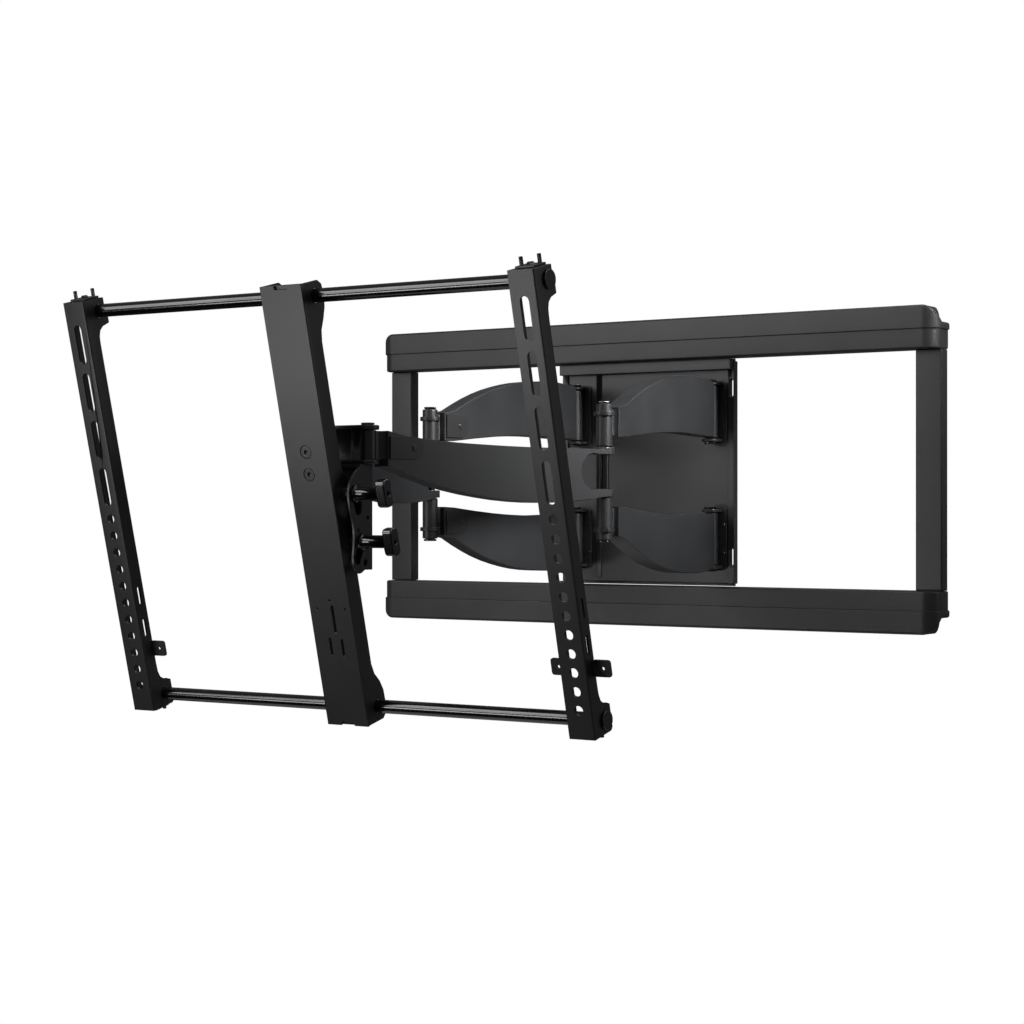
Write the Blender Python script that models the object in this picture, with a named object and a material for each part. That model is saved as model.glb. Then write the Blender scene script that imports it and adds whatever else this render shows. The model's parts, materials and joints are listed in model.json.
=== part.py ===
"""Full motion TV wall mount: two pairs of box arms on a wall frame, carrying a tilting TV frame.

Sizes are in millimetres and turned into metres by MM. X runs to the right seen from the room, Y into the
wall, Z up. The origin is the centre of the wall frame's back face, on the wall.
"""

import math

import bmesh
import bpy
from mathutils import Matrix, Vector

MM = 0.001
GAP = 0.3  # air between touching pieces
ROUND = 16  # sides of a small round piece

# wall frame
FRAME_WIDTH = 841.0
FRAME_HEIGHT = 403.7
FRAME_DEPTH = 42.3
COVER_HEIGHT = 53.0
OUTER_FACET = 29.0
COVER_WALL = 2.5
FRAME_CORNER = 20.0
POST_INNER_X = 383.0
POST_WIDTH = 35.0
POST_DEPTH = 18.0
CARRIAGE_HALF_WIDTH = 131.0
LAG_X = (-300, 300)

# arms
WALL_PIVOT_X = 102.9
WALL_PIVOT_Y = -26.9
RIGHT_ELBOW = (112.9, -313.2)
LEFT_ELBOW = (-142.2, -310.7)
HEAD_X = -19.3
HEAD_Y = -652.1
HEAD_HALF_SPAN = 37.0
ARM_MIRROR_Z = -4.0  # the arms are symmetric about this height
ARM_THICKNESS = 25.0
ARM_SHEET = 2.5
BARREL_RADIUS = 9.5
PIN_RADIUS = 6.0
OPEN_PIVOT_BORE = 9.0  # the left head pivot is left open, so its bore clears the pin all round

# television frame, which leans out at the top
TILT_DEG = 14.0
TV_PLANE_Y = -697.4
TV_PLANE_Z = -50.0
TILT_AXIS_Y = -742.0
TILT_AXIS_Z = -65.0
TILT_UP_DEG = 14.0
TILT_DOWN_DEG = 1.0
BRACKET_HALF_LENGTH = 241.0
BRACKET_WIDTH = 31.0
BRACKET_SHEET = 2.5
BRACKET_DEPTH = 17.0
BRACKET_LOBE_DEPTH = 36.0
LEFT_BRACKET_X = -319.0
RIGHT_BRACKET_X = 281.0
COLUMN_HALF_LENGTH = 242.8
COLUMN_WIDTH = 55.6
COLUMN_DEPTH = 23.0
COLUMN_LOBE_DEPTH = 38.0
ROD_RADIUS = 7.5
ROD_V = 227.0
ROD_DEPTH = 24.0
STUD_DEPTH = 22.0
STUD_UPPER_V = 13.0
STUD_LOWER_V = -40.0

for old in list(bpy.data.objects):
    bpy.data.objects.remove(old)

parts = bpy.data.collections.new("full_motion_tv_wall_mount")
cutters = bpy.data.collections.new("cutters")
bpy.context.scene.collection.children.link(parts)
bpy.context.scene.collection.children.link(cutters)


def material(name, colour, metallic, roughness):
    made = bpy.data.materials.new(name)
    made.use_nodes = True
    shader = made.node_tree.nodes["Principled BSDF"]
    shader.inputs["Base Color"].default_value = (*colour, 1.0)
    shader.inputs["Metallic"].default_value = metallic
    shader.inputs["Roughness"].default_value = roughness
    return made


SATIN = material("satin_black_steel", (0.035, 0.036, 0.038), 0.4, 0.42)
COVER = material("satin_black_plastic", (0.045, 0.046, 0.048), 0.0, 0.45)
GLOSS = material("gloss_black_steel", (0.02, 0.02, 0.022), 0.8, 0.15)
BRIGHT = material("dark_plated_steel", (0.16, 0.16, 0.17), 1.0, 0.2)
RUBBER = material("black_rubber", (0.012, 0.012, 0.012), 0.0, 0.7)


def link(name, mesh, parent=None, finish=None):
    """Put a mesh in the scene, under its parent's origin."""
    piece = bpy.data.objects.new(name, mesh)
    parts.objects.link(piece)
    piece.parent = parent
    if finish is not None:
        mesh.materials.append(finish)
    return piece


def empty(name, location, turn=(0.0, 0.0, 0.0), parent=None):
    marker = bpy.data.objects.new(name, None)
    parts.objects.link(marker)
    marker.location = Vector(location) * MM
    marker.rotation_euler = turn
    marker.parent = parent
    return marker


def box(name, low, high, parent=None, finish=None):
    """A block between two opposite corners."""
    low, high = Vector(low) * MM, Vector(high) * MM
    size = high - low
    work = bmesh.new()
    stretch = Matrix.Diagonal((*size, 1.0))
    bmesh.ops.create_cube(work, size=1.0, matrix=Matrix.Translation((low + high) / 2) @ stretch)
    mesh = bpy.data.meshes.new(name)
    work.to_mesh(mesh)
    work.free()
    return link(name, mesh, parent, finish)


def cylinder(name, start, end, radius, parent=None, finish=None, sides=ROUND, end_radius=None):
    """A round bar, or a cone, from one point to another."""
    start, end = Vector(start) * MM, Vector(end) * MM
    along = end - start
    turn = along.to_track_quat("Z", "Y").to_matrix().to_4x4()
    work = bmesh.new()
    bmesh.ops.create_cone(
        work,
        cap_ends=True,
        segments=sides,
        radius1=radius * MM,
        radius2=(radius if end_radius is None else end_radius) * MM,
        depth=along.length,
        matrix=Matrix.Translation((start + end) / 2) @ turn,
    )
    mesh = bpy.data.meshes.new(name)
    work.to_mesh(mesh)
    work.free()
    mesh.shade_smooth()
    mesh.set_sharp_from_angle(angle=math.radians(35))
    return link(name, mesh, parent, finish)


# how a flat outline's first and second coordinates and its thickness lie in space
PLANES = {
    "XZ": Matrix(((1, 0, 0), (0, 0, -1), (0, 1, 0))),
    "YZ": Matrix(((0, 0, 1), (1, 0, 0), (0, 1, 0))),
    "XY": Matrix(((1, 0, 0), (0, 1, 0), (0, 0, 1))),
}


def plate(name, outline, low, high, plane, parent=None, finish=None):
    """A flat outline made thick between two levels of the axis across its plane."""
    curve = bpy.data.curves.new(name, "CURVE")
    curve.dimensions = "2D"
    curve.fill_mode = "BOTH"
    curve.extrude = abs(high - low) / 2 * MM
    line = curve.splines.new("POLY")
    line.points.add(len(outline) - 1)
    for point, (a, b) in zip(line.points, outline):
        point.co = (a * MM, b * MM, 0.0, 1.0)
    line.use_cyclic_u = True
    holder = bpy.data.objects.new(name, curve)
    cutters.objects.link(holder)
    bpy.context.view_layer.update()
    mesh = bpy.data.meshes.new_from_object(holder.evaluated_get(bpy.context.evaluated_depsgraph_get()))
    bpy.data.objects.remove(holder)
    bpy.data.curves.remove(curve)
    work = bmesh.new()
    work.from_mesh(mesh)
    bmesh.ops.remove_doubles(work, verts=work.verts, dist=1e-6)
    across = PLANES[plane].col[2]
    shift = Matrix.Translation(across * (low + high) / 2 * MM)
    bmesh.ops.transform(work, matrix=shift @ PLANES[plane].to_4x4(), verts=work.verts)
    bmesh.ops.recalc_face_normals(work, faces=work.faces)
    work.to_mesh(mesh)
    work.free()
    mesh.name = name
    return link(name, mesh, parent, finish)


def hide(tool):
    parts.objects.unlink(tool)
    cutters.objects.link(tool)
    tool.hide_render = True
    tool.display_type = "WIRE"


def combine(target, tool, operation):
    hide(tool)
    step = target.modifiers.new(tool.name, "BOOLEAN")
    step.operation = operation
    step.solver = "EXACT"
    step.object = tool


def cut(target, *tools):
    for tool in tools:
        combine(target, tool, "DIFFERENCE")


def join(target, *tools):
    for tool in tools:
        combine(target, tool, "UNION")


def gather(name, tools):
    """Several separate cutters as one object, so that one Boolean does the work of many."""
    work = bmesh.new()
    for tool in tools:
        work.from_mesh(tool.data)
    mesh = bpy.data.meshes.new(name)
    work.to_mesh(mesh)
    work.free()
    parent = tools[0].parent
    for tool in tools:
        bpy.data.objects.remove(tool)
    return link(name, mesh, parent)


def arc(centre, radius, start, end, steps):
    """Points on an arc, angles in degrees."""
    found = []
    for i in range(steps + 1):
        angle = math.radians(start + (end - start) * i / steps)
        found.append((centre[0] + radius * math.cos(angle), centre[1] + radius * math.sin(angle)))
    return found


def smooth(points, steps=4):
    """A Catmull-Rom curve through the points."""
    found = []
    last = len(points) - 1
    for i in range(last):
        before, a, b, after = points[max(i - 1, 0)], points[i], points[i + 1], points[min(i + 2, last)]
        for k in range(steps):
            t = k / steps
            point = []
            for p, q, r, s in zip(before, a, b, after):
                square, cube = 2 * p - 5 * q + 4 * r - s, 3 * q - p - 3 * r + s
                point.append(0.5 * (2 * q + (r - p) * t + square * t**2 + cube * t**3))
            found.append(tuple(point))
    found.append(points[last])
    return found


def obround(centre, half_long, half_wide, steps=5):
    """A slot's outline, long along the second coordinate."""
    run = half_long - half_wide
    top = arc((centre[0], centre[1] + run), half_wide, 0, 180, steps)
    bottom = arc((centre[0], centre[1] - run), half_wide, 180, 360, steps)
    return top + bottom


def rounded_box(low, high, radius, steps=4):
    a, b = (low[0] + radius, low[1] + radius), (high[0] - radius, high[1] - radius)
    return (
        arc((b[0], b[1]), radius, 0, 90, steps)
        + arc((a[0], b[1]), radius, 90, 180, steps)
        + arc((a[0], a[1]), radius, 180, 270, steps)
        + arc((b[0], a[1]), radius, 270, 360, steps)
    )


def mirrored(low, high):
    """A height range on the other side of the arms' plane of symmetry."""
    return 2 * ARM_MIRROR_Z - high, 2 * ARM_MIRROR_Z - low


# ---- wall frame ----


def build_cover(name, side):
    """A snap-on cover over a wall rail: two facets with a small ledge between them, round at its ends."""
    outer = side * FRAME_HEIGHT / 2
    ledge = side * (FRAME_HEIGHT / 2 - OUTER_FACET)
    inner = side * (FRAME_HEIGHT / 2 - COVER_HEIGHT)
    half = FRAME_WIDTH / 2

    def shell_outline(inset):
        x, y = half - inset, FRAME_DEPTH - inset
        corner = FRAME_CORNER - inset
        right = arc((x - corner, -y + corner), corner, 0, -90, 5)
        left = arc((-x + corner, -y + corner), corner, -90, -180, 5)
        return [(x, 0.0)] + right + left + [(-x, 0.0)]

    low, high = sorted((outer, inner))
    cover = plate(name, shell_outline(0.0), low, high, "XY", None, COVER)
    face = FRAME_DEPTH - 1.8
    low, high = sorted((outer + side, ledge))
    cut(cover, box(name + "_step", (-half - 1, -FRAME_DEPTH - 1, low), (half + 1, -face, high)))
    for hand, word in ((1, "right"), (-1, "left")):
        centre = (hand * (half - FRAME_CORNER), outer - side * FRAME_CORNER)
        start = 0 if hand > 0 else 180
        end = start + hand * side * 90
        beyond = hand * (half + 1)
        rim = [(beyond, outer + side), (beyond, centre[1])] + arc(centre, FRAME_CORNER, start, end, 5)
        rim.append((centre[0], outer + side))
        cut(cover, plate(f"{name}_rim_{word}", rim, -1.0, FRAME_DEPTH + 1, "XZ"))
    low, high = sorted((outer - side * COVER_WALL, inner + side * COVER_WALL))
    outline = [(x, y + 1 if y == 0 else y) for x, y in shell_outline(4.5)]
    cut(cover, plate(name + "_hollow", outline, low, high, "XY"))
    return cover


def build_rail(name, side):
    """The steel channel that is lagged to the studs, under a cover."""
    inner = side * (FRAME_HEIGHT / 2 - COVER_HEIGHT)
    near, far = inner + side * (COVER_WALL + 1), side * (FRAME_HEIGHT / 2 - 10)
    half = FRAME_WIDTH / 2 - 24
    low, high = sorted((near, far))
    rail = box(name, (-half, -30, low), (half, 0, high), None, SATIN)
    cut(rail, box(name + "_channel", (-half - 1, -27, low + 3), (half + 1, -3, high - 3)))
    low, high = sorted((near + side * 9, far - side * 9))
    slots = []
    for i in range(7):
        x = -300 + 100 * i
        outline = rounded_box((x - 22, low), (x + 22, high), 5)
        slots.append(plate(f"{name}_slot_{i}", outline, 26, 31, "XZ"))
    cut(rail, gather(name + "_slots", slots))
    z = (low + high) / 2
    holes = [cylinder(f"{name}_hole_{x}", (x, -4, z), (x, 1, z), 5) for x in LAG_X]
    cut(rail, gather(name + "_holes", holes))
    return rail


def build_lag_bolt(name, x, z):
    """A hexagon-headed lag screw. The part that would sit inside the wall is left off."""
    bolt = cylinder(name, (x, -3 - GAP, z), (x, -10, z), 9, None, BRIGHT, 6)
    join(bolt, cylinder(name + "_shank", (x, -5, z), (x, 0, z), 4.5, None, None, 12))
    return bolt


def build_post(name, side):
    """A side of the frame: a shallow steel channel behind the ends of the covers."""
    inner, outer = side * POST_INNER_X, side * (POST_INNER_X + POST_WIDTH)
    low, high = sorted((inner, outer))
    reach = FRAME_HEIGHT / 2 - COVER_HEIGHT - GAP
    post = box(name, (low, -POST_DEPTH, -reach), (high, 0, reach), None, SATIN)
    cut(post, box(name + "_back", (low + 2, -POST_DEPTH + 2, -reach - 1), (high - 2, 1, reach + 1)))
    return post


for side, word in ((1, "top"), (-1, "bottom")):
    build_cover(f"{word}_cover", side)
    build_rail(f"{word}_rail", side)
    for x, hand in zip(LAG_X, ("left", "right")):
        build_lag_bolt(f"{word}_{hand}_lag_bolt", x, side * (FRAME_HEIGHT / 2 - COVER_HEIGHT + 23.25))
build_post("left_post", -1)
build_post("right_post", 1)

# ---- carriage with its hinge brackets ----

CARRIAGE_FRONT = 12.0
CARRIAGE_REACH = FRAME_HEIGHT / 2 - COVER_HEIGHT - 1.0
carriage = box(
    "carriage_plate",
    (-CARRIAGE_HALF_WIDTH, -CARRIAGE_FRONT, -CARRIAGE_REACH),
    (CARRIAGE_HALF_WIDTH, -CARRIAGE_FRONT + 3, CARRIAGE_REACH),
    None,
    SATIN,
)
for x, tag in ((-CARRIAGE_HALF_WIDTH, "left"), (CARRIAGE_HALF_WIDTH - 9, "right")):
    reach = CARRIAGE_REACH - 3
    join(carriage, box(f"carriage_{tag}_flange", (x - 0.1, -14, -reach), (x + 9.1, -4, reach)))
join(carriage, box("carriage_rib", (-78, -13.6, -CARRIAGE_REACH + 8), (-70, -11, CARRIAGE_REACH - 8)))
lips = (("top", 134, CARRIAGE_REACH - 0.5), ("bottom", -CARRIAGE_REACH + 0.5, -145))
for tag, low, high in lips:
    join(carriage, box(f"carriage_{tag}_lip", (-130, -24, low), (130, -CARRIAGE_FRONT + 1, high)))
for x, tag in ((-131, "left"), (122, "right")):
    slots = []
    for i, z in enumerate((-110, 110)):
        slots.append(plate(f"carriage_{tag}_slot_{i}", obround((x + 4.5, z), 12, 3), 2, 25, "XZ"))
    cut(carriage, gather(f"carriage_{tag}_slots", slots))

UPPER_HINGE = (43.8, 113.5)  # heights between a wall hinge's ears
EAR = 3.5


def build_hinge_bracket(name, x, low, high):
    """A folded steel bracket whose two ears carry a wall pin."""
    back = -CARRIAGE_FRONT - GAP
    top, bottom = high + GAP + EAR, low - GAP - EAR
    bracket = box(name, (x - 17, back - 2, bottom + 0.5), (x + 17, back, top - 0.5), None, SATIN)
    ear = [(x - 11.5, back - 1), (x - 11.5, back - 3)] + arc((x, WALL_PIVOT_Y), 11, 180, 360, 8)
    ear += [(x + 11.5, back - 3), (x + 11.5, back - 1)]
    join(bracket, plate(name + "_upper_ear", ear, top - EAR, top, "XY"))
    join(bracket, plate(name + "_lower_ear", ear, bottom, bottom + EAR, "XY"))
    start, end = (x, WALL_PIVOT_Y, bottom - 1), (x, WALL_PIVOT_Y, top + 1)
    cut(bracket, cylinder(name + "_bore", start, end, PIN_RADIUS + GAP))
    rivets = []
    for dx in (-12.5, 12.5):
        for i, z in enumerate((low + 16, high - 16)):
            start, end = (x + dx, back - 1, z), (x + dx, back - 2.6, z)
            rivets.append(cylinder(f"{name}_rivet_{dx}_{i}", start, end, 2.6, None, None, 8))
    join(bracket, gather(name + "_rivets", rivets))
    return bracket


def build_pin(name, x, y, low, high, parent, head, bolt_head, radius=PIN_RADIUS, foot=None):
    """A hinge pin with a hexagonal head above and, unless the foot is 0, a round washer head below."""
    foot = bolt_head if foot is None else foot
    pin = cylinder(name, (x, y, low - foot / 2), (x, y, high + bolt_head / 2), radius, parent, GLOSS)
    join(pin, cylinder(name + "_head", (x, y, high), (x, y, high + bolt_head), head, parent, None, 6))
    if foot:
        join(pin, cylinder(name + "_foot", (x, y, low - foot), (x, y, low), head, parent, None, 16))
    return pin


for side, hand in ((1, "right"), (-1, "left")):
    for (low, high), word in ((UPPER_HINGE, "upper"), (mirrored(*UPPER_HINGE), "lower")):
        x = side * WALL_PIVOT_X
        build_hinge_bracket(f"{hand}_{word}_hinge_bracket", x, low, high)
        reach = 2 * GAP + EAR
        build_pin(f"{hand}_{word}_wall_pin", x, WALL_PIVOT_Y, low - reach, high + reach, None, 8.0, 3.0)

# ---- arms ----

# heights of the arms' edges against the distance along the arm
WALL_ARM_TOP = [(0, 114), (30, 119), (62, 121.5), (110, 119.5), (150, 113.5), (190, 103.5), (226, 90)]
WALL_ARM_TOP.append((262, 73))
WALL_ARM_BOTTOM = [(0, 45), (62, 47), (110, 48), (165, 46), (215, 42), (262, 37)]
WALL_ARM_SPAN = (12.5, 273.0)
ELBOW_UPPER = (26.2, 76.8)
TV_ARM_TOP = [(0, 40), (40, 32), (70, 28.5), (115, 25.6), (175, 23.5), (239, 22.5), (352, 22.5)]
TV_ARM_BOTTOM = [(0, 1.5), (25, -4), (54, -13), (84, -22), (115, -28.5), (145, -33.5), (190, -38.8)]
TV_ARM_BOTTOM += [(239, -41.2), (281, -40), (322, -36.5), (340, -34), (352, -33)]
TV_KNUCKLES = ((16.5, 25.5), (-33.5, -24.5))
HEAD_KNUCKLE = (4.6, 36.4)
LEAF_THICK = 2.0


def edge_height(points, x):
    """Height of a smoothed edge at a distance along the arm."""
    line = smooth(points, 6)
    for (xa, za), (xb, zb) in zip(line, line[1:]):
        if xa <= x <= xb:
            return za + (zb - za) * (x - xa) / (xb - xa)
    return line[-1][1] if x > line[-1][0] else line[0][1]


def arm_outline(top, bottom, start, end, inset=0.0, steps=14):
    """The closed outline between two smoothed edges, taken in by an inset."""
    stations = [start + inset + (end - start - 2 * inset) * i / steps for i in range(steps + 1)]
    upper = [(x, edge_height(top, x) - inset) for x in stations]
    lower = [(x, edge_height(bottom, x) + inset) for x in reversed(stations)]
    return upper + lower


def flip(points):
    return [(x, 2 * ARM_MIRROR_Z - z) for x, z in points]


def build_box_arm(name, top, bottom, span, parent, solid=5.0):
    """A hollow sheet steel arm with a closed end at each hinge and one slot for air."""
    half = ARM_THICKNESS / 2
    body = plate(name, arm_outline(top, bottom, *span), -half, half, "XZ", parent, SATIN)
    near, far = span[0] + solid - ARM_SHEET, span[1] - 5
    inside = arm_outline(top, bottom, near, far, ARM_SHEET)
    cut(body, plate(name + "_inside", inside, -half + ARM_SHEET, half - ARM_SHEET, "XZ", parent))
    middle = sum(span) / 2
    lower_side = bottom[0][1] > ARM_MIRROR_Z - 20
    z = edge_height(bottom if lower_side else top, middle)
    cut(body, box(name + "_drain", (middle - 12, -4, z - 5), (middle + 12, 4, z + 5), parent))
    return body


def add_knuckle(arm, tag, x, low, high, inward, parent, bore=None, radius=BARREL_RADIUS, web=None):
    """A round knuckle at one end of an arm, with a web back to it."""
    name = f"{arm.name}_{tag}"
    near, far = sorted((x, x + inward))
    foot, head = web or (low + 0.5, high - 0.5)
    join(arm, box(name + "_web", (near, -5.5, foot), (far, 5.5, head), parent))
    join(arm, cylinder(name + "_barrel", (x, 0, low), (x, 0, high), radius, parent))
    cut(arm, cylinder(name + "_bore", (x, 0, low - 2), (x, 0, high + 2), bore or PIN_RADIUS + GAP, parent))


def arm_frame(name, pivot, far):
    """An empty on a pivot whose X axis points at the next pivot; returns it with the distance."""
    dx, dy = far[0] - pivot[0], far[1] - pivot[1]
    return empty(name, (*pivot, 0.0), (0.0, 0.0, math.atan2(dy, dx))), math.hypot(dx, dy)


def build_leaf(name, x, z, length, height, towards, face, parent):
    """A dark hinge leaf screwed on an arm's face, square at the hinge and round at its other end."""
    radius = height / 2 - 1
    end = x + towards * (length - radius)
    if towards > 0:
        outline = [(x, z - radius)] + arc((end, z), radius, -90, 90, 8) + [(x, z + radius)]
    else:
        outline = [(x, z + radius)] + arc((end, z), radius, 90, 270, 8) + [(x, z - radius)]
    level = ARM_THICKNESS / 2 + GAP
    low, high = sorted((-face * level, -face * (level + LEAF_THICK)))
    leaf = plate(name, outline, low, high, "XZ", parent, RUBBER)
    outer = face * (level + LEAF_THICK)
    screw_start, screw_end = (end, outer - face, z), (end, outer + face * 1.2, z)
    join(leaf, cylinder(name + "_screw", screw_start, screw_end, 3.6, parent, None, 12))
    return leaf


def build_collar(name, x, z, parent):
    """A split ring round an elbow knuckle, open where the arm's web meets the knuckle."""
    ring = cylinder(name, (x, 0, z - 2.5), (x, 0, z + 2.5), 12.5, parent, RUBBER, 24)
    cut(ring, cylinder(name + "_bore", (x, 0, z - 4), (x, 0, z + 4), BARREL_RADIUS + GAP, parent))
    cut(ring, box(name + "_split", (x - 14, -6, z - 4), (x - 7, 6, z + 4), parent))


WALL_PIVOTS = {"right": (WALL_PIVOT_X, WALL_PIVOT_Y), "left": (-WALL_PIVOT_X, WALL_PIVOT_Y)}
ELBOWS = {"right": RIGHT_ELBOW, "left": LEFT_ELBOW}
HEAD_PIVOTS = {"right": (HEAD_X + HEAD_HALF_SPAN, HEAD_Y), "left": (HEAD_X - HEAD_HALF_SPAN, HEAD_Y)}

for hand in ("right", "left"):
    base, reach = arm_frame(f"{hand}_wall_pivot", WALL_PIVOTS[hand], ELBOWS[hand])
    inner = 1 if hand == "left" else -1
    for word in ("upper", "lower"):
        high = word == "upper"
        top = WALL_ARM_TOP if high else flip(WALL_ARM_BOTTOM)
        bottom = WALL_ARM_BOTTOM if high else flip(WALL_ARM_TOP)
        arm = build_box_arm(f"{hand}_{word}_wall_arm", top, bottom, WALL_ARM_SPAN, base)
        hinge = UPPER_HINGE if high else mirrored(*UPPER_HINGE)
        elbow = ELBOW_UPPER if high else mirrored(*ELBOW_UPPER)
        add_knuckle(arm, "wall", 0.0, hinge[0] + 1, hinge[1] - 1, 14, base)
        web = (38.5, 71.5) if high else mirrored(38.5, 71.5)
        add_knuckle(arm, "elbow", reach, *elbow, -18, base, web=web)
        leaf_z = 56.5 if high else 2 * ARM_MIRROR_Z - 56.5
        build_leaf(f"{hand}_{word}_elbow_leaf", reach - 16, leaf_z, 40, 31, -1, inner, base)
        ring_z = 65.0 if high else 2 * ARM_MIRROR_Z - 65.0
        build_collar(f"{hand}_{word}_elbow_collar", reach, ring_z, base)
    low, high = mirrored(*ELBOW_UPPER)[0], ELBOW_UPPER[1]
    build_pin(f"{hand}_elbow_pin", reach, 0, low - 2 * GAP, high + 2 * GAP, base, 8.0, 2.5)

for hand in ("right", "left"):
    base, reach = arm_frame(f"{hand}_elbow", ELBOWS[hand], HEAD_PIVOTS[hand])
    top = [(reach - x, z) for x, z in reversed(TV_ARM_TOP)]
    bottom = [(reach - x, z) for x, z in reversed(TV_ARM_BOTTOM)]
    arm = build_box_arm(f"{hand}_tv_arm", top, bottom, (3.0, reach - 18), base, 50.0)
    for i, (low, high) in enumerate(TV_KNUCKLES):
        name = f"{arm.name}_elbow_{i}"
        join(arm, cylinder(name + "_barrel", (0, 0, low), (0, 0, high), 12.2, base))
        cut(arm, cylinder(name + "_bore", (0, 0, low - 2), (0, 0, high + 2), PIN_RADIUS + GAP, base))
    cut(arm, cylinder(arm.name + "_notch", (27, -20, -4), (27, 20, -4), 21.5, base, None, 28))
    cut(arm, box(arm.name + "_gap", (-20, -20, TV_KNUCKLES[1][1]), (27, 20, TV_KNUCKLES[0][0]), base))
    bore = PIN_RADIUS - 1 + GAP if hand == "right" else OPEN_PIVOT_BORE
    radius = BARREL_RADIUS if hand == "right" else OPEN_PIVOT_BORE + 1.6
    add_knuckle(arm, "head", reach, *HEAD_KNUCKLE, -19, base, bore, radius)
    build_leaf(f"{hand}_head_leaf", reach - 20, 18.0, 46, 27, -1, 1 if hand == "right" else -1, base)

# ---- yoke ----

YOKE_TOP = 42.0
YOKE_PLATE = 5.0
YOKE_FRONT = -12.4
OPEN_PIN_RADIUS = 4.5

yoke_base = empty("yoke_pivot", (*HEAD_PIVOTS["right"], 0.0))
yoke_middle = empty("yoke_middle", (-HEAD_HALF_SPAN, 0.0, 0.0), parent=yoke_base)
ends = arc((HEAD_HALF_SPAN, 0), 12.4, -90, 90, 10) + arc((-HEAD_HALF_SPAN, 0), 12.4, 90, 270, 10)
yoke = plate("yoke", ends, YOKE_TOP - YOKE_PLATE, YOKE_TOP, "XY", yoke_middle, SATIN)
join(yoke, plate("yoke_floor", ends, 0.0, YOKE_PLATE - 0.7, "XY", yoke_middle))
join(yoke, box("yoke_core", (-17, YOKE_FRONT + 0.2, 1), (24, 11, YOKE_TOP - 1), yoke_middle))
low, high = (-16, YOKE_FRONT + 0.4, 2), (HEAD_HALF_SPAN + 3, -10.1, YOKE_TOP - 2)
join(yoke, box("yoke_front", low, high, yoke_middle))
for side, radius, tag in ((1, PIN_RADIUS - 1, "right"), (-1, OPEN_PIN_RADIUS, "left")):
    x = side * HEAD_HALF_SPAN
    cut(yoke, cylinder(f"yoke_{tag}_bore", (x, 0, -2), (x, 0, YOKE_TOP + 2), radius + GAP, yoke_middle))
    build_pin(f"{tag}_head_pin", x, 0.0, 0.0, YOKE_TOP + GAP, yoke_middle, 7.5, 2.4, radius, 0)

# ---- tilt bracket that hangs from the yoke ----

CHEEK_IN = 38.0  # right cheek; the left one is closer to the column and not as deep in front
CHEEK_OUT = 41.0
LEFT_CHEEK_IN = 29.0
LEFT_CHEEK_OUT = 32.0
LEFT_CHEEK_TRIM = 5.0
swivel_base = empty("swivel_axis", (HEAD_X, HEAD_Y, 0.0))


def stud_world(v):
    """Where a tilt stud stands, in the Y and Z of the world."""
    lean = math.radians(TILT_DEG)
    y = TV_PLANE_Y - v * math.sin(lean) + STUD_DEPTH * math.cos(lean)
    z = TV_PLANE_Z + v * math.cos(lean) + STUD_DEPTH * math.sin(lean)
    return y, z


def slot_about_axis(v, half_wide):
    """A curved slot round the tilt axis, in the Y and Z of the swivel frame."""
    y, z = stud_world(v)
    rise, run = z - TILT_AXIS_Z, y - TILT_AXIS_Y
    radius, angle = math.hypot(run, rise), math.degrees(math.atan2(rise, run))
    centre = (TILT_AXIS_Y - HEAD_Y, TILT_AXIS_Z)
    high, low = angle + TILT_DOWN_DEG + 0.6, angle - TILT_UP_DEG - 0.6
    outer = arc(centre, radius + half_wide, low, high, 8)
    inner = arc(centre, radius - half_wide, high, low, 8)

    def cap(at, start):
        middle = arc(centre, radius, at, at, 1)[0]
        return arc(middle, half_wide, start, start + 180, 6)[1:-1]

    return outer + cap(high, high) + inner + cap(low, low + 180)


upper_lobe = [(-18, -3), (-27, -9), (-36, -20), (-38.5, -32), (-36, -48), (-31, -62)]
lower_lobe = [(-28.5, -76), (-29, -90), (-30.3, -101), (-28, -112), (-19, -118), (-10, -114)]
cheek = [(3, -GAP), (-18, -GAP)] + smooth(upper_lobe + lower_lobe, 3) + [(3, -114)]
tilt_bracket = plate("tilt_bracket", cheek, -LEFT_CHEEK_OUT, CHEEK_OUT, "YZ", swivel_base, SATIN)
cut(tilt_bracket, box("tilt_bracket_inside", (-LEFT_CHEEK_IN, -60, -130), (CHEEK_IN, 0, -3.5), swivel_base))
trim = [(y + LEFT_CHEEK_TRIM, z) for y, z in smooth(upper_lobe + lower_lobe, 3)]
ahead = [(-60, 5)] + [(trim[0][0], 5)] + trim + [(trim[-1][0], -130), (-60, -130)]
cut(tilt_bracket, plate("tilt_bracket_trim", ahead, -LEFT_CHEEK_OUT - 1, -5, "YZ", swivel_base))
slot_tools = []
for v in (STUD_UPPER_V, STUD_LOWER_V):
    for low, high in ((CHEEK_IN - 1, CHEEK_OUT + 1), (-LEFT_CHEEK_OUT - 1, -LEFT_CHEEK_IN + 1)):
        outline = slot_about_axis(v, 6.6)
        slot_tools.append(plate(f"tilt_slot_{v}_{low}", outline, low, high, "YZ", swivel_base))
for i, (y, z, radius) in enumerate(((-5, -58, 2.2), (-8, -106, 4.0), (-21, -72, 2.2))):
    start, end = (CHEEK_IN - 1, y, z), (CHEEK_OUT + 1, y, z)
    slot_tools.append(cylinder(f"tilt_hole_{i}", start, end, radius, swivel_base, None, 12))
cut(tilt_bracket, gather("tilt_slots", slot_tools))
cylinder("tilt_bumper", (0, 3 + GAP, -105), (0, 9, -105), 6.5, swivel_base, RUBBER, 16, 4.5)

# ---- television frame ----

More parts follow.
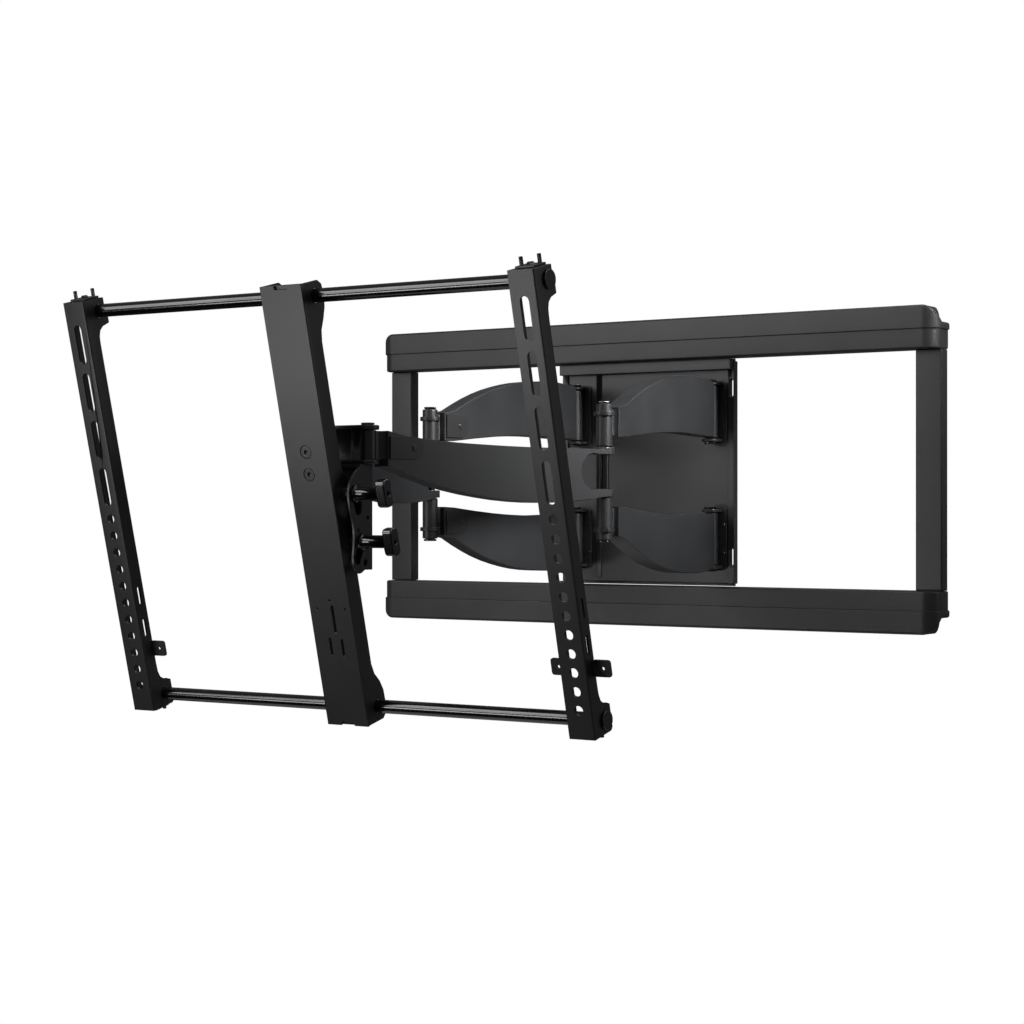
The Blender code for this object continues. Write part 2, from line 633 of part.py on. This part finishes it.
tilt_base = empty("tilt_axis", (0.0, TILT_AXIS_Y, TILT_AXIS_Z), (math.radians(TILT_DEG), 0.0, 0.0))
lean = math.radians(TILT_DEG)
rise, run = TV_PLANE_Z - TILT_AXIS_Z, TV_PLANE_Y - TILT_AXIS_Y
plane_n = run * math.cos(lean) + rise * math.sin(lean)
plane_v = -run * math.sin(lean) + rise * math.cos(lean)
tv = empty("tv_plane", (0.0, plane_n, plane_v), parent=tilt_base)


def depth_outline(front_n, half_length, depths):
    """A side flange: a straight front edge and a back edge whose depth changes along the length."""
    return [(front_n, half_length), (front_n, -half_length)] + depths


lobe = COLUMN_LOBE_DEPTH
column_back = [(lobe - 8, -COLUMN_HALF_LENGTH), (lobe - 2, -238), (lobe, -226), (lobe - 0.5, -212)]
column_back += [(lobe - 5, -200), (COLUMN_DEPTH + 3, -190), (COLUMN_DEPTH, -178), (COLUMN_DEPTH, -70)]
column_back += [(COLUMN_DEPTH + 2, -62), (30, -55), (30, 28), (COLUMN_DEPTH + 2, 36), (COLUMN_DEPTH, 46)]
column_back.append((COLUMN_DEPTH, 178))
column_back += [(COLUMN_DEPTH + 2, 190), (lobe - 7, 201), (lobe - 2, 213), (lobe, 226), (lobe - 2, 238)]
column_back.append((lobe - 8, COLUMN_HALF_LENGTH))
half = COLUMN_WIDTH / 2
flange = depth_outline(3.3, COLUMN_HALF_LENGTH, column_back)
column = plate("column_channel", flange, HEAD_X - half + 0.8, HEAD_X + half - 0.8, "YZ", tv, SATIN)
inside_low, inside_high = (HEAD_X - half + 3.3, 5.8, -260), (HEAD_X + half - 3.3, 60, 260)
cut(column, box("column_inside", inside_low, inside_high, tv))
COVER_SCREWS = (63.5, 39.0)
CABLE_SLOTS = ((3.0, -121.5, 16.0, 1.6), (-6.5, -152.5, 10.5, 1.4), (9.5, -153.5, 10.0, 1.4))
PILOT_HOLES = ((1.0, -100.5), (-18.0, -110.0), (20.0, -110.0))


def column_openings(name, low, high):
    """Cutters for the narrow cable slots and pilot holes near the foot of the column."""
    made = []
    for i, (x, v, half_long, half_wide) in enumerate(CABLE_SLOTS):
        outline = obround((HEAD_X + x, v), half_long, half_wide, 3)
        made.append(plate(f"{name}_slot_{i}", outline, -high, -low, "XZ", tv))
    for i, (x, v) in enumerate(PILOT_HOLES):
        start, end = (HEAD_X + x, low, v), (HEAD_X + x, high, v)
        made.append(cylinder(f"{name}_pilot_{i}", start, end, 1.3, tv, None, 8))
    return made


tools = column_openings("column", 2.0, 7.0)
STUD_RADIUS = 6.0
bores = [(v, ROD_DEPTH, ROD_RADIUS) for v in (-ROD_V, ROD_V)]
bores += [(v, STUD_DEPTH, STUD_RADIUS) for v in (STUD_UPPER_V, STUD_LOWER_V)]
for i, (v, depth, radius) in enumerate(bores):
    start, end = (HEAD_X - 40, depth, v), (HEAD_X + 40, depth, v)
    tools.append(cylinder(f"column_bore_{i}", start, end, radius + GAP, tv))
for i, v in enumerate(COVER_SCREWS):
    tools.append(cylinder(f"column_screw_bore_{i}", (HEAD_X, 2, v), (HEAD_X, 7, v), 3.5 + GAP, tv))
cut(column, gather("column_bores", tools))

notch = 9.0
outline = [
    (HEAD_X - half, -COLUMN_HALF_LENGTH), (HEAD_X - notch, -COLUMN_HALF_LENGTH), (HEAD_X - notch, -238.3),
    (HEAD_X + notch, -238.3), (HEAD_X + notch, -COLUMN_HALF_LENGTH), (HEAD_X + half, -COLUMN_HALF_LENGTH),
    (HEAD_X + half, COLUMN_HALF_LENGTH), (HEAD_X + notch, COLUMN_HALF_LENGTH), (HEAD_X + notch, 238.3),
    (HEAD_X - notch, 238.3), (HEAD_X - notch, COLUMN_HALF_LENGTH), (HEAD_X - half, COLUMN_HALF_LENGTH),
]
column_cover = plate("column_cover", outline, -3.0, 0.0, "XZ", tv, SATIN)
tools = column_openings("cover", -1.0, 4.0)
for i, v in enumerate(COVER_SCREWS):
    tools.append(cylinder(f"cover_screw_bore_{i}", (HEAD_X, -1, v), (HEAD_X, 4, v), 7.0 + GAP, tv))
cut(column_cover, gather("cover_holes", tools))
for i, v in enumerate(COVER_SCREWS):
    word = ("upper", "lower")[i]
    screw = cylinder(f"{word}_column_screw", (HEAD_X, 0.3, v), (HEAD_X, 3.0, v), 7.0, tv, RUBBER)
    join(screw, cylinder(f"{word}_column_screw_shank", (HEAD_X, 2, v), (HEAD_X, 12, v), 3.5, tv, None, 12))
    cut(screw, cylinder(f"{word}_column_screw_socket", (HEAD_X, -1, v), (HEAD_X, 2.6, v), 2.6, tv, None, 6))

left_end = LEFT_BRACKET_X - BRACKET_WIDTH / 2
right_end = RIGHT_BRACKET_X + BRACKET_WIDTH / 2
for word, v in (("top", ROD_V), ("bottom", -ROD_V)):
    start, end = (left_end - 0.6, ROD_DEPTH, v), (right_end + 0.6, ROD_DEPTH, v)
    rod = cylinder(f"{word}_rod", start, end, ROD_RADIUS, tv, GLOSS, 24)
    for tag, x, away in (("left", left_end, -1), ("right", right_end, 1)):
        start, end = (x + away * 0.5, ROD_DEPTH, v), (x + away * 3, ROD_DEPTH, v)
        join(rod, cylinder(f"{word}_rod_{tag}_cap", start, end, 10.0, tv, None, 24))

lobe = BRACKET_LOBE_DEPTH
bracket_back = [(lobe - 3, -BRACKET_HALF_LENGTH), (lobe, -238), (lobe, -213), (lobe - 6, -210), (25, -209)]
bracket_back += [(20, -205), (BRACKET_DEPTH + 0.6, -198), (BRACKET_DEPTH, -188), (BRACKET_DEPTH, 192)]
bracket_back += [(BRACKET_DEPTH + 0.6, 199), (20, 205), (25, 209), (lobe, 211.5), (lobe, 220)]
bracket_back += [(lobe - 3, 231), (lobe - 3, BRACKET_HALF_LENGTH)]
SLOTS_V = (27.5, 82.5, 137.5, 192.5)


def build_bracket(name, x, tabs):
    """An upright channel for the television's screws: slots above, round holes below, lobes for the rods."""
    half = BRACKET_WIDTH / 2
    flange = depth_outline(0.0, BRACKET_HALF_LENGTH, bracket_back)
    bracket = plate(name, flange, x - half, x + half, "YZ", tv, SATIN)
    inner = half - BRACKET_SHEET
    reach = BRACKET_HALF_LENGTH - BRACKET_SHEET
    hollow = box(name + "_inside", (x - inner, BRACKET_SHEET, -reach), (x + inner, 60, reach), tv)
    # only the right flange has lobes round the rods
    trim = box(name + "_trim", (x - half - 1, 16.9, -reach + 1), (x - half + 4, 60, reach - 1), tv)
    cut(bracket, hollow, trim)
    for side in tabs:
        low, high = sorted((x + side * (half - 1), x + side * (half + 20)))
        outline = rounded_box((low, -177.7), (high, -159.7), 3)
        tab = plate(f"{name}_tab_{side}", outline, -16.6, -14.3, "XZ", tv)
        join(bracket, tab)
    tools = [plate(f"{name}_slot_{v}", obround((x, v), 22.5, 5.25), -4, 1, "XZ", tv) for v in SLOTS_V]
    for i in range(11):
        v = -10 - 20 * i
        tools.append(cylinder(f"{name}_hole_{i}", (x, -1, v), (x, 4, v), 5.25, tv, None, 14))
    for side in tabs:
        at = x + side * (half + 11)
        start, end = (at, 13, -168.7), (at, 18, -168.7)
        tools.append(cylinder(f"{name}_tab_hole_{side}", start, end, 1.9, tv, None, 10))
    for i, v in enumerate((-ROD_V, ROD_V)):
        start, end = (x - 20, ROD_DEPTH, v), (x + 20, ROD_DEPTH, v)
        tools.append(cylinder(f"{name}_bore_{i}", start, end, ROD_RADIUS + GAP, tv))
    for i, v in enumerate((-103.7, -142.2)):
        outline = obround((9, v), 10.7, 2.0, 3)
        tools.append(plate(f"{name}_side_slot_{i}", outline, x + half - 4, x + half + 1, "YZ", tv))
    cut(bracket, gather(name + "_holes", tools))
    return bracket


def build_clamp(name, x, end, screws, proud):
    """A small plate on a bracket's end with its set screws and a domed nut, which grips the rod."""
    level = end * (BRACKET_HALF_LENGTH + GAP)
    top = level + end * 2.2
    low, high = sorted((level, top))
    clamp = box(name, (x - 11, 8, low), (x + 11, 31, high), tv, RUBBER)
    for i, (dx, n) in enumerate(screws):
        start, stop = (x + dx, n, top - end), (x + dx, n, top + end * proud)
        join(clamp, cylinder(f"{name}_screw_{i}", start, stop, 2.2, tv, None, 10))
    start, stop = (x, 20, top - end), (x, 20, top + end * 2.5)
    join(clamp, cylinder(f"{name}_nut", start, stop, 5, tv, None, 12, 3.2))
    return clamp


for hand, x, tabs in (("left", LEFT_BRACKET_X, (1,)), ("right", RIGHT_BRACKET_X, (-1, 1))):
    build_bracket(f"{hand}_bracket", x, tabs)
    build_clamp(f"{hand}_top_clamp", x, 1, ((-5, 11.5), (6, 28)), 9)
    build_clamp(f"{hand}_bottom_clamp", x, -1, ((7, 27),), 3.5)

# ---- tilt studs and their knobs ----

for word, v in (("upper", STUD_UPPER_V), ("lower", STUD_LOWER_V)):
    axis = empty(f"{word}_knob_axis", (HEAD_X, STUD_DEPTH, v), parent=tv)
    start, end = (-LEFT_CHEEK_OUT - 0.8, 0, 0), (CHEEK_OUT + 0.4, 0, 0)
    stud = cylinder(f"{word}_tilt_stud", start, end, STUD_RADIUS, axis, BRIGHT)
    for side, reach in ((-1, LEFT_CHEEK_IN - 0.4), (1, CHEEK_IN - 0.4)):
        start, end = (side * 27.4, 0, 0), (side * reach, 0, 0)
        join(stud, cylinder(f"{word}_tilt_stud_spacer_{side}", start, end, 7.5, axis))
    start, end = (-LEFT_CHEEK_OUT - 6, 0, 0), (-LEFT_CHEEK_OUT - 0.6, 0, 0)
    join(stud, cylinder(f"{word}_tilt_stud_head", start, end, 9.5, axis, None, 6))
    start, end = (CHEEK_OUT + 0.8, 0, 0), (CHEEK_OUT + 3.5, 0, 0)
    knob = cylinder(f"{word}_tilt_knob", start, end, 9.5, axis, GLOSS)
    join(knob, cylinder(f"{word}_tilt_knob_shaft", (CHEEK_OUT + 3, 0, 0), (75, 0, 0), 7.0, axis))
    handle = plate(f"{word}_tilt_knob_handle", rounded_box((-7, -15), (7, 15), 4.5), 73, 85, "YZ", axis)
    join(knob, handle)
    socket = cylinder(f"{word}_tilt_knob_socket", (80, 0, 0), (86, 0, 0), 2.4, axis, None, 6)
    cut(knob, socket)
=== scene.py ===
import json
import math

import bmesh
import bpy
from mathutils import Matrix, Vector


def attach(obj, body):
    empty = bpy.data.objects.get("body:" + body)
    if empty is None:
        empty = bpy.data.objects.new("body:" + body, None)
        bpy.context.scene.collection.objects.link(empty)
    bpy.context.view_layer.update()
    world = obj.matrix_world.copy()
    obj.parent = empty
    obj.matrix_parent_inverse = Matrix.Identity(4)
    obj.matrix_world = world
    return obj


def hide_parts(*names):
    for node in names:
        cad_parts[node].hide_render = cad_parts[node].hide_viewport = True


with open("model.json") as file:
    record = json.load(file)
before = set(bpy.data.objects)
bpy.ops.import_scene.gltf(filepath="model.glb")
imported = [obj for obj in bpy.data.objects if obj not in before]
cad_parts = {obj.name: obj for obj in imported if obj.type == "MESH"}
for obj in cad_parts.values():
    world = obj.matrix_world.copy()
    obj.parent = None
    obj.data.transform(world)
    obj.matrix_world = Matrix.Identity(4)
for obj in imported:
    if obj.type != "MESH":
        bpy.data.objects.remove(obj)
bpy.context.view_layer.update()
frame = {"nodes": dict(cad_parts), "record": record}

nodes = frame["nodes"]
scene = bpy.context.scene
bodyOf = {node: body for body, held in frame["record"]["behaviour"]["bodies"].items() for node in held}
slotOf = {entry["node"]: entry["material_slot"] for entry in frame["record"]["subparts"]}
mm = 0.001

# the finishes, one for each material slot of the record
finishes = {
    "satin_steel": {"colour": (0.020, 0.0205, 0.022), "metallic": 0.0, "roughness": 0.36, "spread": 0.10,
                    "peel": 0.35, "grain": 0.10, "grainSize": 0.5, "coat": 0.25, "coatRoughness": 0.30},
    "cover_plastic": {"colour": (0.030, 0.0305, 0.032), "metallic": 0.0, "roughness": 0.40, "spread": 0.08,
                      "peel": 0.20, "grain": 0.14, "grainSize": 0.7, "coat": 0.10, "coatRoughness": 0.35},
    "gloss_steel": {"colour": (0.07, 0.07, 0.072), "metallic": 1.0, "roughness": 0.17, "spread": 0.05,
                    "peel": 0.08, "grain": 0.02, "grainSize": 0.4, "coat": 0.60, "coatRoughness": 0.06},
    "plated_steel": {"colour": (0.30, 0.30, 0.31), "metallic": 1.0, "roughness": 0.24, "spread": 0.12,
                     "peel": 0.10, "grain": 0.08, "grainSize": 0.3, "coat": 0.0, "coatRoughness": 0.1},
    "dark_steel": {"colour": (0.022, 0.022, 0.023), "metallic": 0.2, "roughness": 0.38, "spread": 0.10,
                   "peel": 0.20, "grain": 0.08, "grainSize": 0.4, "coat": 0.30, "coatRoughness": 0.20},
    "black_rubber": {"colour": (0.009, 0.009, 0.009), "metallic": 0.0, "roughness": 0.62, "spread": 0.10,
                     "peel": 0.30, "grain": 0.25, "grainSize": 0.5, "coat": 0.0, "coatRoughness": 0.3},
}

# what every finish shows: a slow cloudy tone and the dimples of a sprayed skin, with sizes and depths in mm
surface = {"cloud": 60, "cloudDetail": 3, "dimple": 2.6, "dimpleDepth": 0.12, "grainDepth": 0.03, "detail": 2,
           "dimpleShare": 0.3, "toneSpread": 0.18, "noiseLow": 0.3, "noiseHigh": 0.7}


def makeFinish(name, look):
    made = bpy.data.materials.new(name)
    made.use_nodes = True
    tree = made.node_tree
    shader = tree.nodes["Principled BSDF"]
    shader.inputs["Metallic"].default_value = look["metallic"]
    shader.inputs["Coat Weight"].default_value = look["coat"]
    shader.inputs["Coat Roughness"].default_value = look["coatRoughness"]
    place = tree.nodes.new("ShaderNodeTexCoord")

    def noise(size, detail):
        texture = tree.nodes.new("ShaderNodeTexNoise")
        texture.inputs["Scale"].default_value = 1 / (size * mm)
        texture.inputs["Detail"].default_value = detail
        tree.links.new(place.outputs["Object"], texture.inputs["Vector"])
        return texture

    cloudy = noise(surface["cloud"], surface["cloudDetail"])
    peel = noise(surface["dimple"], surface["detail"])
    grain = noise(look["grainSize"], surface["detail"])

    tone = tree.nodes.new("ShaderNodeValToRGB")
    spread = surface["toneSpread"]
    ends = ((surface["noiseLow"], 1 - spread), (surface["noiseHigh"], 1 + spread))
    for stop, (position, share) in zip(tone.color_ramp.elements, ends):
        stop.position = position
        stop.color = (*[c * share for c in look["colour"]], 1)
    tree.links.new(cloudy.outputs["Fac"], tone.inputs["Fac"])
    tree.links.new(tone.outputs["Color"], shader.inputs["Base Color"])

    gloss = tree.nodes.new("ShaderNodeMapRange")
    gloss.inputs["From Min"].default_value = surface["noiseLow"]
    gloss.inputs["From Max"].default_value = surface["noiseHigh"]
    gloss.inputs["To Min"].default_value = look["roughness"] - look["spread"] / 2
    gloss.inputs["To Max"].default_value = look["roughness"] + look["spread"] / 2
    tree.links.new(grain.outputs["Fac"], gloss.inputs["Value"])
    tree.links.new(gloss.outputs["Result"], shader.inputs["Roughness"])

    low = tree.nodes.new("ShaderNodeBump")
    low.inputs["Strength"].default_value = look["peel"] * surface["dimpleShare"]
    low.inputs["Distance"].default_value = surface["dimpleDepth"] * mm
    tree.links.new(peel.outputs["Fac"], low.inputs["Height"])
    fine = tree.nodes.new("ShaderNodeBump")
    fine.inputs["Strength"].default_value = look["grain"]
    fine.inputs["Distance"].default_value = surface["grainDepth"] * mm
    tree.links.new(grain.outputs["Fac"], fine.inputs["Height"])
    tree.links.new(low.outputs["Normal"], fine.inputs["Normal"])
    tree.links.new(fine.outputs["Normal"], shader.inputs["Normal"])
    return made


finishOf = {slot: makeFinish(slot, look) for slot, look in finishes.items()}
print("finishes made")

# edge radius in mm for each kind of piece: the first word that is in a node's name counts
edgeSizes = {
    "tilt_knob": 1.6, "tilt_bracket": 0.5, "hinge_bracket": 0.5, "column_channel": 0.6, "column_cover": 0.45,
    "wall_arm": 1.2, "tv_arm": 0.7, "bracket": 0.13, "carriage_plate": 0.6, "post": 1.0, "rail": 0.8,
    "leaf": 0.4, "collar": 0.5, "yoke": 0.9, "rod": 0.6, "bumper": 1.0, "clamp": 0.4, "pin": 0.7, "stud": 0.6,
    "screw": 0.4, "bolt": 0.8,
}
# radius in mm of the folds between two wide faces of a sheet
bendSizes = {"left_bracket": 2.0, "right_bracket": 2.0, "column_channel": 2.0, "post": 2.0}
# a rounded edge turns at least sharpAngle degrees, and a wide face has at least wideArea mm2
edgeRules = {"sharpAngle": 32, "wideArea": 2800, "weld": 0.004, "flatAngle": 0.6, "segments": 2,
             "faceWeight": 90}


def addPiece(name, mesh, body, slot):
    piece = bpy.data.objects.new(name, mesh)
    scene.collection.objects.link(piece)
    mesh.materials.clear()
    mesh.materials.append(finishOf[slot])
    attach(piece, body)
    return piece


def softenEdges(piece, width):
    piece.data.shade_smooth()
    step = piece.modifiers.new("softEdges", "BEVEL")
    step.width = width * mm
    step.segments = edgeRules["segments"]
    step.limit_method = "WEIGHT"
    step.use_clamp_overlap = False
    evenShading(piece)


def evenShading(piece):
    # wide flat faces keep flat shading, and only the rounded edges turn the light
    even = piece.modifiers.new("evenShading", "WEIGHTED_NORMAL")
    even.mode = "FACE_AREA"
    even.weight = edgeRules["faceWeight"]
    even.keep_sharp = True


def weighEdges(work, size, bend):
    # a fold between two wide faces gets the bend radius, and every other sharp edge the small one
    plane, area = {}, {}
    for face in work.faces:
        level = round(face.normal.dot(face.verts[0].co) / mm, 0)
        key = (*[round(c, 2) for c in face.normal], level)
        plane[face] = key
        area[key] = area.get(key, 0.0) + face.calc_area()
    weight = work.edges.layers.float.new("bevel_weight_edge")
    sharpAngle, wideArea = math.radians(edgeRules["sharpAngle"]), edgeRules["wideArea"] * mm * mm
    for edge in work.edges:
        if not edge.is_convex or edge.calc_face_angle(0.0) < sharpAngle:
            continue
        wide = min(area[plane[face]] for face in edge.link_faces) > wideArea
        edge[weight] = 1.0 if wide else size / bend


def refine(node):
    # the node's own shape with its flat faces made whole and its outer edges rounded
    work = bmesh.new()
    work.from_mesh(nodes[node].data)
    bmesh.ops.remove_doubles(work, verts=work.verts, dist=edgeRules["weld"] * mm)
    flat = math.radians(edgeRules["flatAngle"])
    bmesh.ops.dissolve_limit(work, angle_limit=flat, verts=work.verts, edges=work.edges)
    size = next(size for word, size in edgeSizes.items() if word in node)
    bend = max(size, next((bend for word, bend in bendSizes.items() if word in node), 0.0))
    weighEdges(work, size, bend)
    mesh = bpy.data.meshes.new(node + "_skin")
    work.to_mesh(mesh)
    work.free()
    piece = addPiece(node + "_skin", mesh, bodyOf[node], slotOf[node])
    softenEdges(piece, bend)
    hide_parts(node)


# the moulded rail covers: an outer facet, a ledge and an inner facet, in mm
# the two curves are (inset, rise) points, round the ledge and round the inner end
coverShape = {"width": 841.0, "height": 403.7, "depth": 42.3, "corner": 20.0, "outerFacet": 29.0,
              "cover": 53.0, "edge": 3.5, "wall": 2.2, "topLip": 9.0, "lowLip": 11.0,
              "ledgeCurve": ((0.0, 1.0), (0.25, 0.3), (1.14, 0.0), (1.9, -0.5), (1.9, -2.0)),
              "innerCurve": ((1.9, 2.0), (2.5, 0.6), (3.9, 0.0)),
              "leastFacet": 4.0, "sideLength": 16.0, "frontSteps": 40, "cornerSteps": 14, "edgeSteps": 5,
              "touch": 0.001, "weld": 0.01, "sliver": 0.005, "seam": 40}


def coverPath(shape):
    # plan outline from the right wall edge round to the left wall edge: (x, y, outward x, outward y)
    half, depth, corner = shape["width"] / 2, shape["depth"], shape["corner"]
    side, steps, frontSteps = shape["sideLength"], shape["cornerSteps"], shape["frontSteps"]
    found = [(half, -y, 1.0, 0.0) for y in (0.0, side / 2, side)]
    for i in range(steps + 1):
        turn = math.pi / 2 * i / steps
        x, y = math.cos(turn), -math.sin(turn)
        found.append((half - corner + corner * x, -depth + corner + corner * y, x, y))
    straight = [(half - corner) * (1 - 2 * i / frontSteps) for i in range(1, frontSteps)]
    middle = [(x, -depth, 0.0, -1.0) for x in straight]
    return found + middle + [(-x, y, -nx, ny) for x, y, nx, ny in reversed(found)]


def coverSection(shape, drop):
    # from the wall along the outer side, over the edge, down the facets and back to the wall: (inset, height)
    edge, top = shape["edge"], shape["height"] / 2 - drop
    ledge = shape["height"] / 2 - shape["outerFacet"]
    end = shape["height"] / 2 - shape["cover"]
    section = []
    for i in range(shape["edgeSteps"] + 1):
        turn = math.pi / 2 * i / shape["edgeSteps"]
        section.append((edge - edge * math.sin(turn), top - edge + edge * math.cos(turn)))
    section += [(inset, ledge + rise) for inset, rise in shape["ledgeCurve"]]
    section += [(inset, end + rise) for inset, rise in shape["innerCurve"]]
    return section


def buildCover(name, side):
    shape = coverShape
    half, corner = shape["width"] / 2, shape["corner"]
    work = bmesh.new()
    rows = []
    for x, y, nx, ny in coverPath(shape):
        over = max(0.0, abs(x) - (half - corner))
        drop = corner - math.sqrt(max(0.0, corner**2 - over**2))
        drop = min(drop, shape["outerFacet"] - shape["edge"] - shape["leastFacet"])
        row = []
        section = coverSection(shape, drop)
        topLip = (section[0][0] + shape["topLip"], section[0][1])
        lowLip = (shape["lowLip"], section[-1][1])
        for inset, height in [topLip] + section + [lowLip]:
            px, py = x - nx * inset, min(0.0, y - ny * inset)
            row.append(work.verts.new((px * mm, py * mm, side * height * mm)))
        rows.append(row)
    for a, b in zip(rows, rows[1:]):
        for i in range(len(a) - 1):
            work.faces.new((a[i], a[i + 1], b[i + 1], b[i]))
    # both lips run back to the wall
    for end in (0, -1):
        path = [(row[end].co.x, row[end].co.y) for row in rows]
        back = [work.verts.new((x, 0.0, rows[k][end].co.z)) for k, (x, y) in enumerate(path)]
        for k in range(len(rows) - 1):
            if max(abs(path[k][1]), abs(path[k + 1][1])) < shape["touch"] * mm:
                continue     # this stretch lies on the wall already
            work.faces.new((rows[k][end], rows[k + 1][end], back[k + 1], back[k]))
    bmesh.ops.remove_doubles(work, verts=work.verts, dist=shape["weld"] * mm)
    bmesh.ops.dissolve_degenerate(work, edges=work.edges, dist=shape["sliver"] * mm)
    bmesh.ops.recalc_face_normals(work, faces=work.faces)
    mesh = bpy.data.meshes.new(name + "_skin")
    work.to_mesh(mesh)
    work.free()
    mesh.shade_smooth()
    mesh.set_sharp_from_angle(angle=math.radians(shape["seam"]))
    piece = addPiece(name + "_skin", mesh, "wall_frame", "cover_plastic")
    wall = piece.modifiers.new("wallThickness", "SOLIDIFY")
    wall.thickness = shape["wall"] * mm
    wall.offset = -1.0       # inwards from the outer surface
    evenShading(piece)
    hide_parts(name)


covers = {"top_cover": 1, "bottom_cover": -1}
for name, side in covers.items():
    buildCover(name, side)
print("covers made")

for node in nodes:
    if node not in covers:
        refine(node)
print(len(nodes) - len(covers), "other pieces refined")

cameraView = {"place": (1.4214, -2.5128, -0.0532), "tilt": 90.035, "turn": 33.2, "lens": 75.73,
              "sensor": 36.0, "reach": 60.0}
camera = bpy.data.objects.new("camera", bpy.data.cameras.new("camera"))
scene.collection.objects.link(camera)
camera.location = cameraView["place"]
camera.rotation_euler = (math.radians(cameraView["tilt"]), 0.0, math.radians(cameraView["turn"]))
camera.data.lens = cameraView["lens"]
camera.data.sensor_width = cameraView["sensor"]
camera.data.clip_end = cameraView["reach"]
scene.camera = camera
print("camera placed")

# the floor in metres, the white background, and the dim light from above and below
studio = {"floorHeight": -1.15, "floorSize": 2.1, "floorTones": (0.90, 0.94), "floorRoughness": 0.9,
          "speckle": 40, "background": 1.0, "tint": (0.97, 0.985, 1.0, 1), "above": 0.13, "below": 0.02,
          "lowRise": -0.5, "highRise": 0.35}
# soft lights: places and sizes in metres, power in watts, spread in degrees
lights = {
    "key": {"place": (-0.9, -2.0, 1.0), "aim": (0.0, -0.3, 0.05), "size": (1.2, 0.7), "power": 8},
    "wash": {"place": (-1.25, -2.3, 0.44), "aim": (0.1, -0.1, 0.1), "size": (1.6, 0.5), "power": 7},
    "low": {"place": (-0.93, -2.3, -0.44), "aim": (0.1, -0.7, 0.2), "size": (1.0, 0.28), "power": 5.2},
    "top": {"place": (0.1, -0.35, 1.5), "aim": (0.0, -0.35, 0.0), "size": (2.2, 0.6), "power": 8},
    "rim": {"place": (2.2, 0.7, 0.7), "aim": (0.3, -0.1, 0.0), "size": (0.3, 1.4), "power": 3.5},
    "arms": {"place": (1.5, -0.25, 0.75), "aim": (0.0, -0.22, 0.05), "size": (0.3, 0.3), "power": 1.4,
             "spread": 22},
}
fullSpread = 180


def buildFloor():
    work = bmesh.new()
    bmesh.ops.create_grid(work, x_segments=1, y_segments=1, size=studio["floorSize"] / 2)
    mesh = bpy.data.meshes.new("floor")
    work.to_mesh(mesh)
    work.free()
    floor = bpy.data.objects.new("floor", mesh)
    scene.collection.objects.link(floor)
    floor.location.z = studio["floorHeight"]
    paint = bpy.data.materials.new("paleFloor")
    paint.use_nodes = True
    tree = paint.node_tree
    shader = tree.nodes["Principled BSDF"]
    shader.inputs["Roughness"].default_value = studio["floorRoughness"]
    speckle = tree.nodes.new("ShaderNodeTexNoise")
    speckle.inputs["Scale"].default_value = studio["speckle"]
    tone = tree.nodes.new("ShaderNodeValToRGB")
    for stop, grey in zip(tone.color_ramp.elements, studio["floorTones"]):
        stop.color = (grey, grey, grey, 1)
    tree.links.new(speckle.outputs["Fac"], tone.inputs["Fac"])
    tree.links.new(tone.outputs["Color"], shader.inputs["Base Color"])
    mesh.materials.append(paint)


def buildBackground():
    # the camera sees plain white, and the pieces reflect a dim room that is lighter above
    world = bpy.data.worlds.new("studio")
    scene.world = world
    world.use_nodes = True
    tree = world.node_tree
    seen = tree.nodes["Background"]
    seen.inputs["Color"].default_value = (1, 1, 1, 1)
    seen.inputs["Strength"].default_value = studio["background"]
    soft = tree.nodes.new("ShaderNodeBackground")
    soft.inputs["Color"].default_value = studio["tint"]
    way = tree.nodes.new("ShaderNodeTexCoord")
    split = tree.nodes.new("ShaderNodeSeparateXYZ")
    rise = tree.nodes.new("ShaderNodeMapRange")
    rise.interpolation_type = "SMOOTHSTEP"
    rise.inputs["From Min"].default_value = studio["lowRise"]
    rise.inputs["From Max"].default_value = studio["highRise"]
    rise.inputs["To Min"].default_value = studio["below"]
    rise.inputs["To Max"].default_value = studio["above"]
    tree.links.new(way.outputs["Generated"], split.inputs["Vector"])
    tree.links.new(split.outputs["Z"], rise.inputs["Value"])
    tree.links.new(rise.outputs["Result"], soft.inputs["Strength"])
    path = tree.nodes.new("ShaderNodeLightPath")
    mix = tree.nodes.new("ShaderNodeMixShader")
    tree.links.new(path.outputs["Is Camera Ray"], mix.inputs["Fac"])
    tree.links.new(soft.outputs["Background"], mix.inputs[1])
    tree.links.new(seen.outputs["Background"], mix.inputs[2])
    tree.links.new(mix.outputs["Shader"], tree.nodes["World Output"].inputs["Surface"])


def addLight(name, spec):
    lamp = bpy.data.lights.new(name, "AREA")
    lamp.shape = "RECTANGLE"
    lamp.size, lamp.size_y = spec["size"]
    lamp.energy = spec["power"]
    lamp.spread = math.radians(spec.get("spread", fullSpread))
    holder = bpy.data.objects.new(name, lamp)
    scene.collection.objects.link(holder)
    holder.location = spec["place"]
    away = Vector(spec["aim"]) - Vector(spec["place"])
    holder.rotation_euler = away.to_track_quat("-Z", "Y").to_euler()


buildFloor()
buildBackground()
for name, spec in lights.items():
    addLight(name, spec)
scene.view_settings.view_transform = "Standard"
print("studio made")
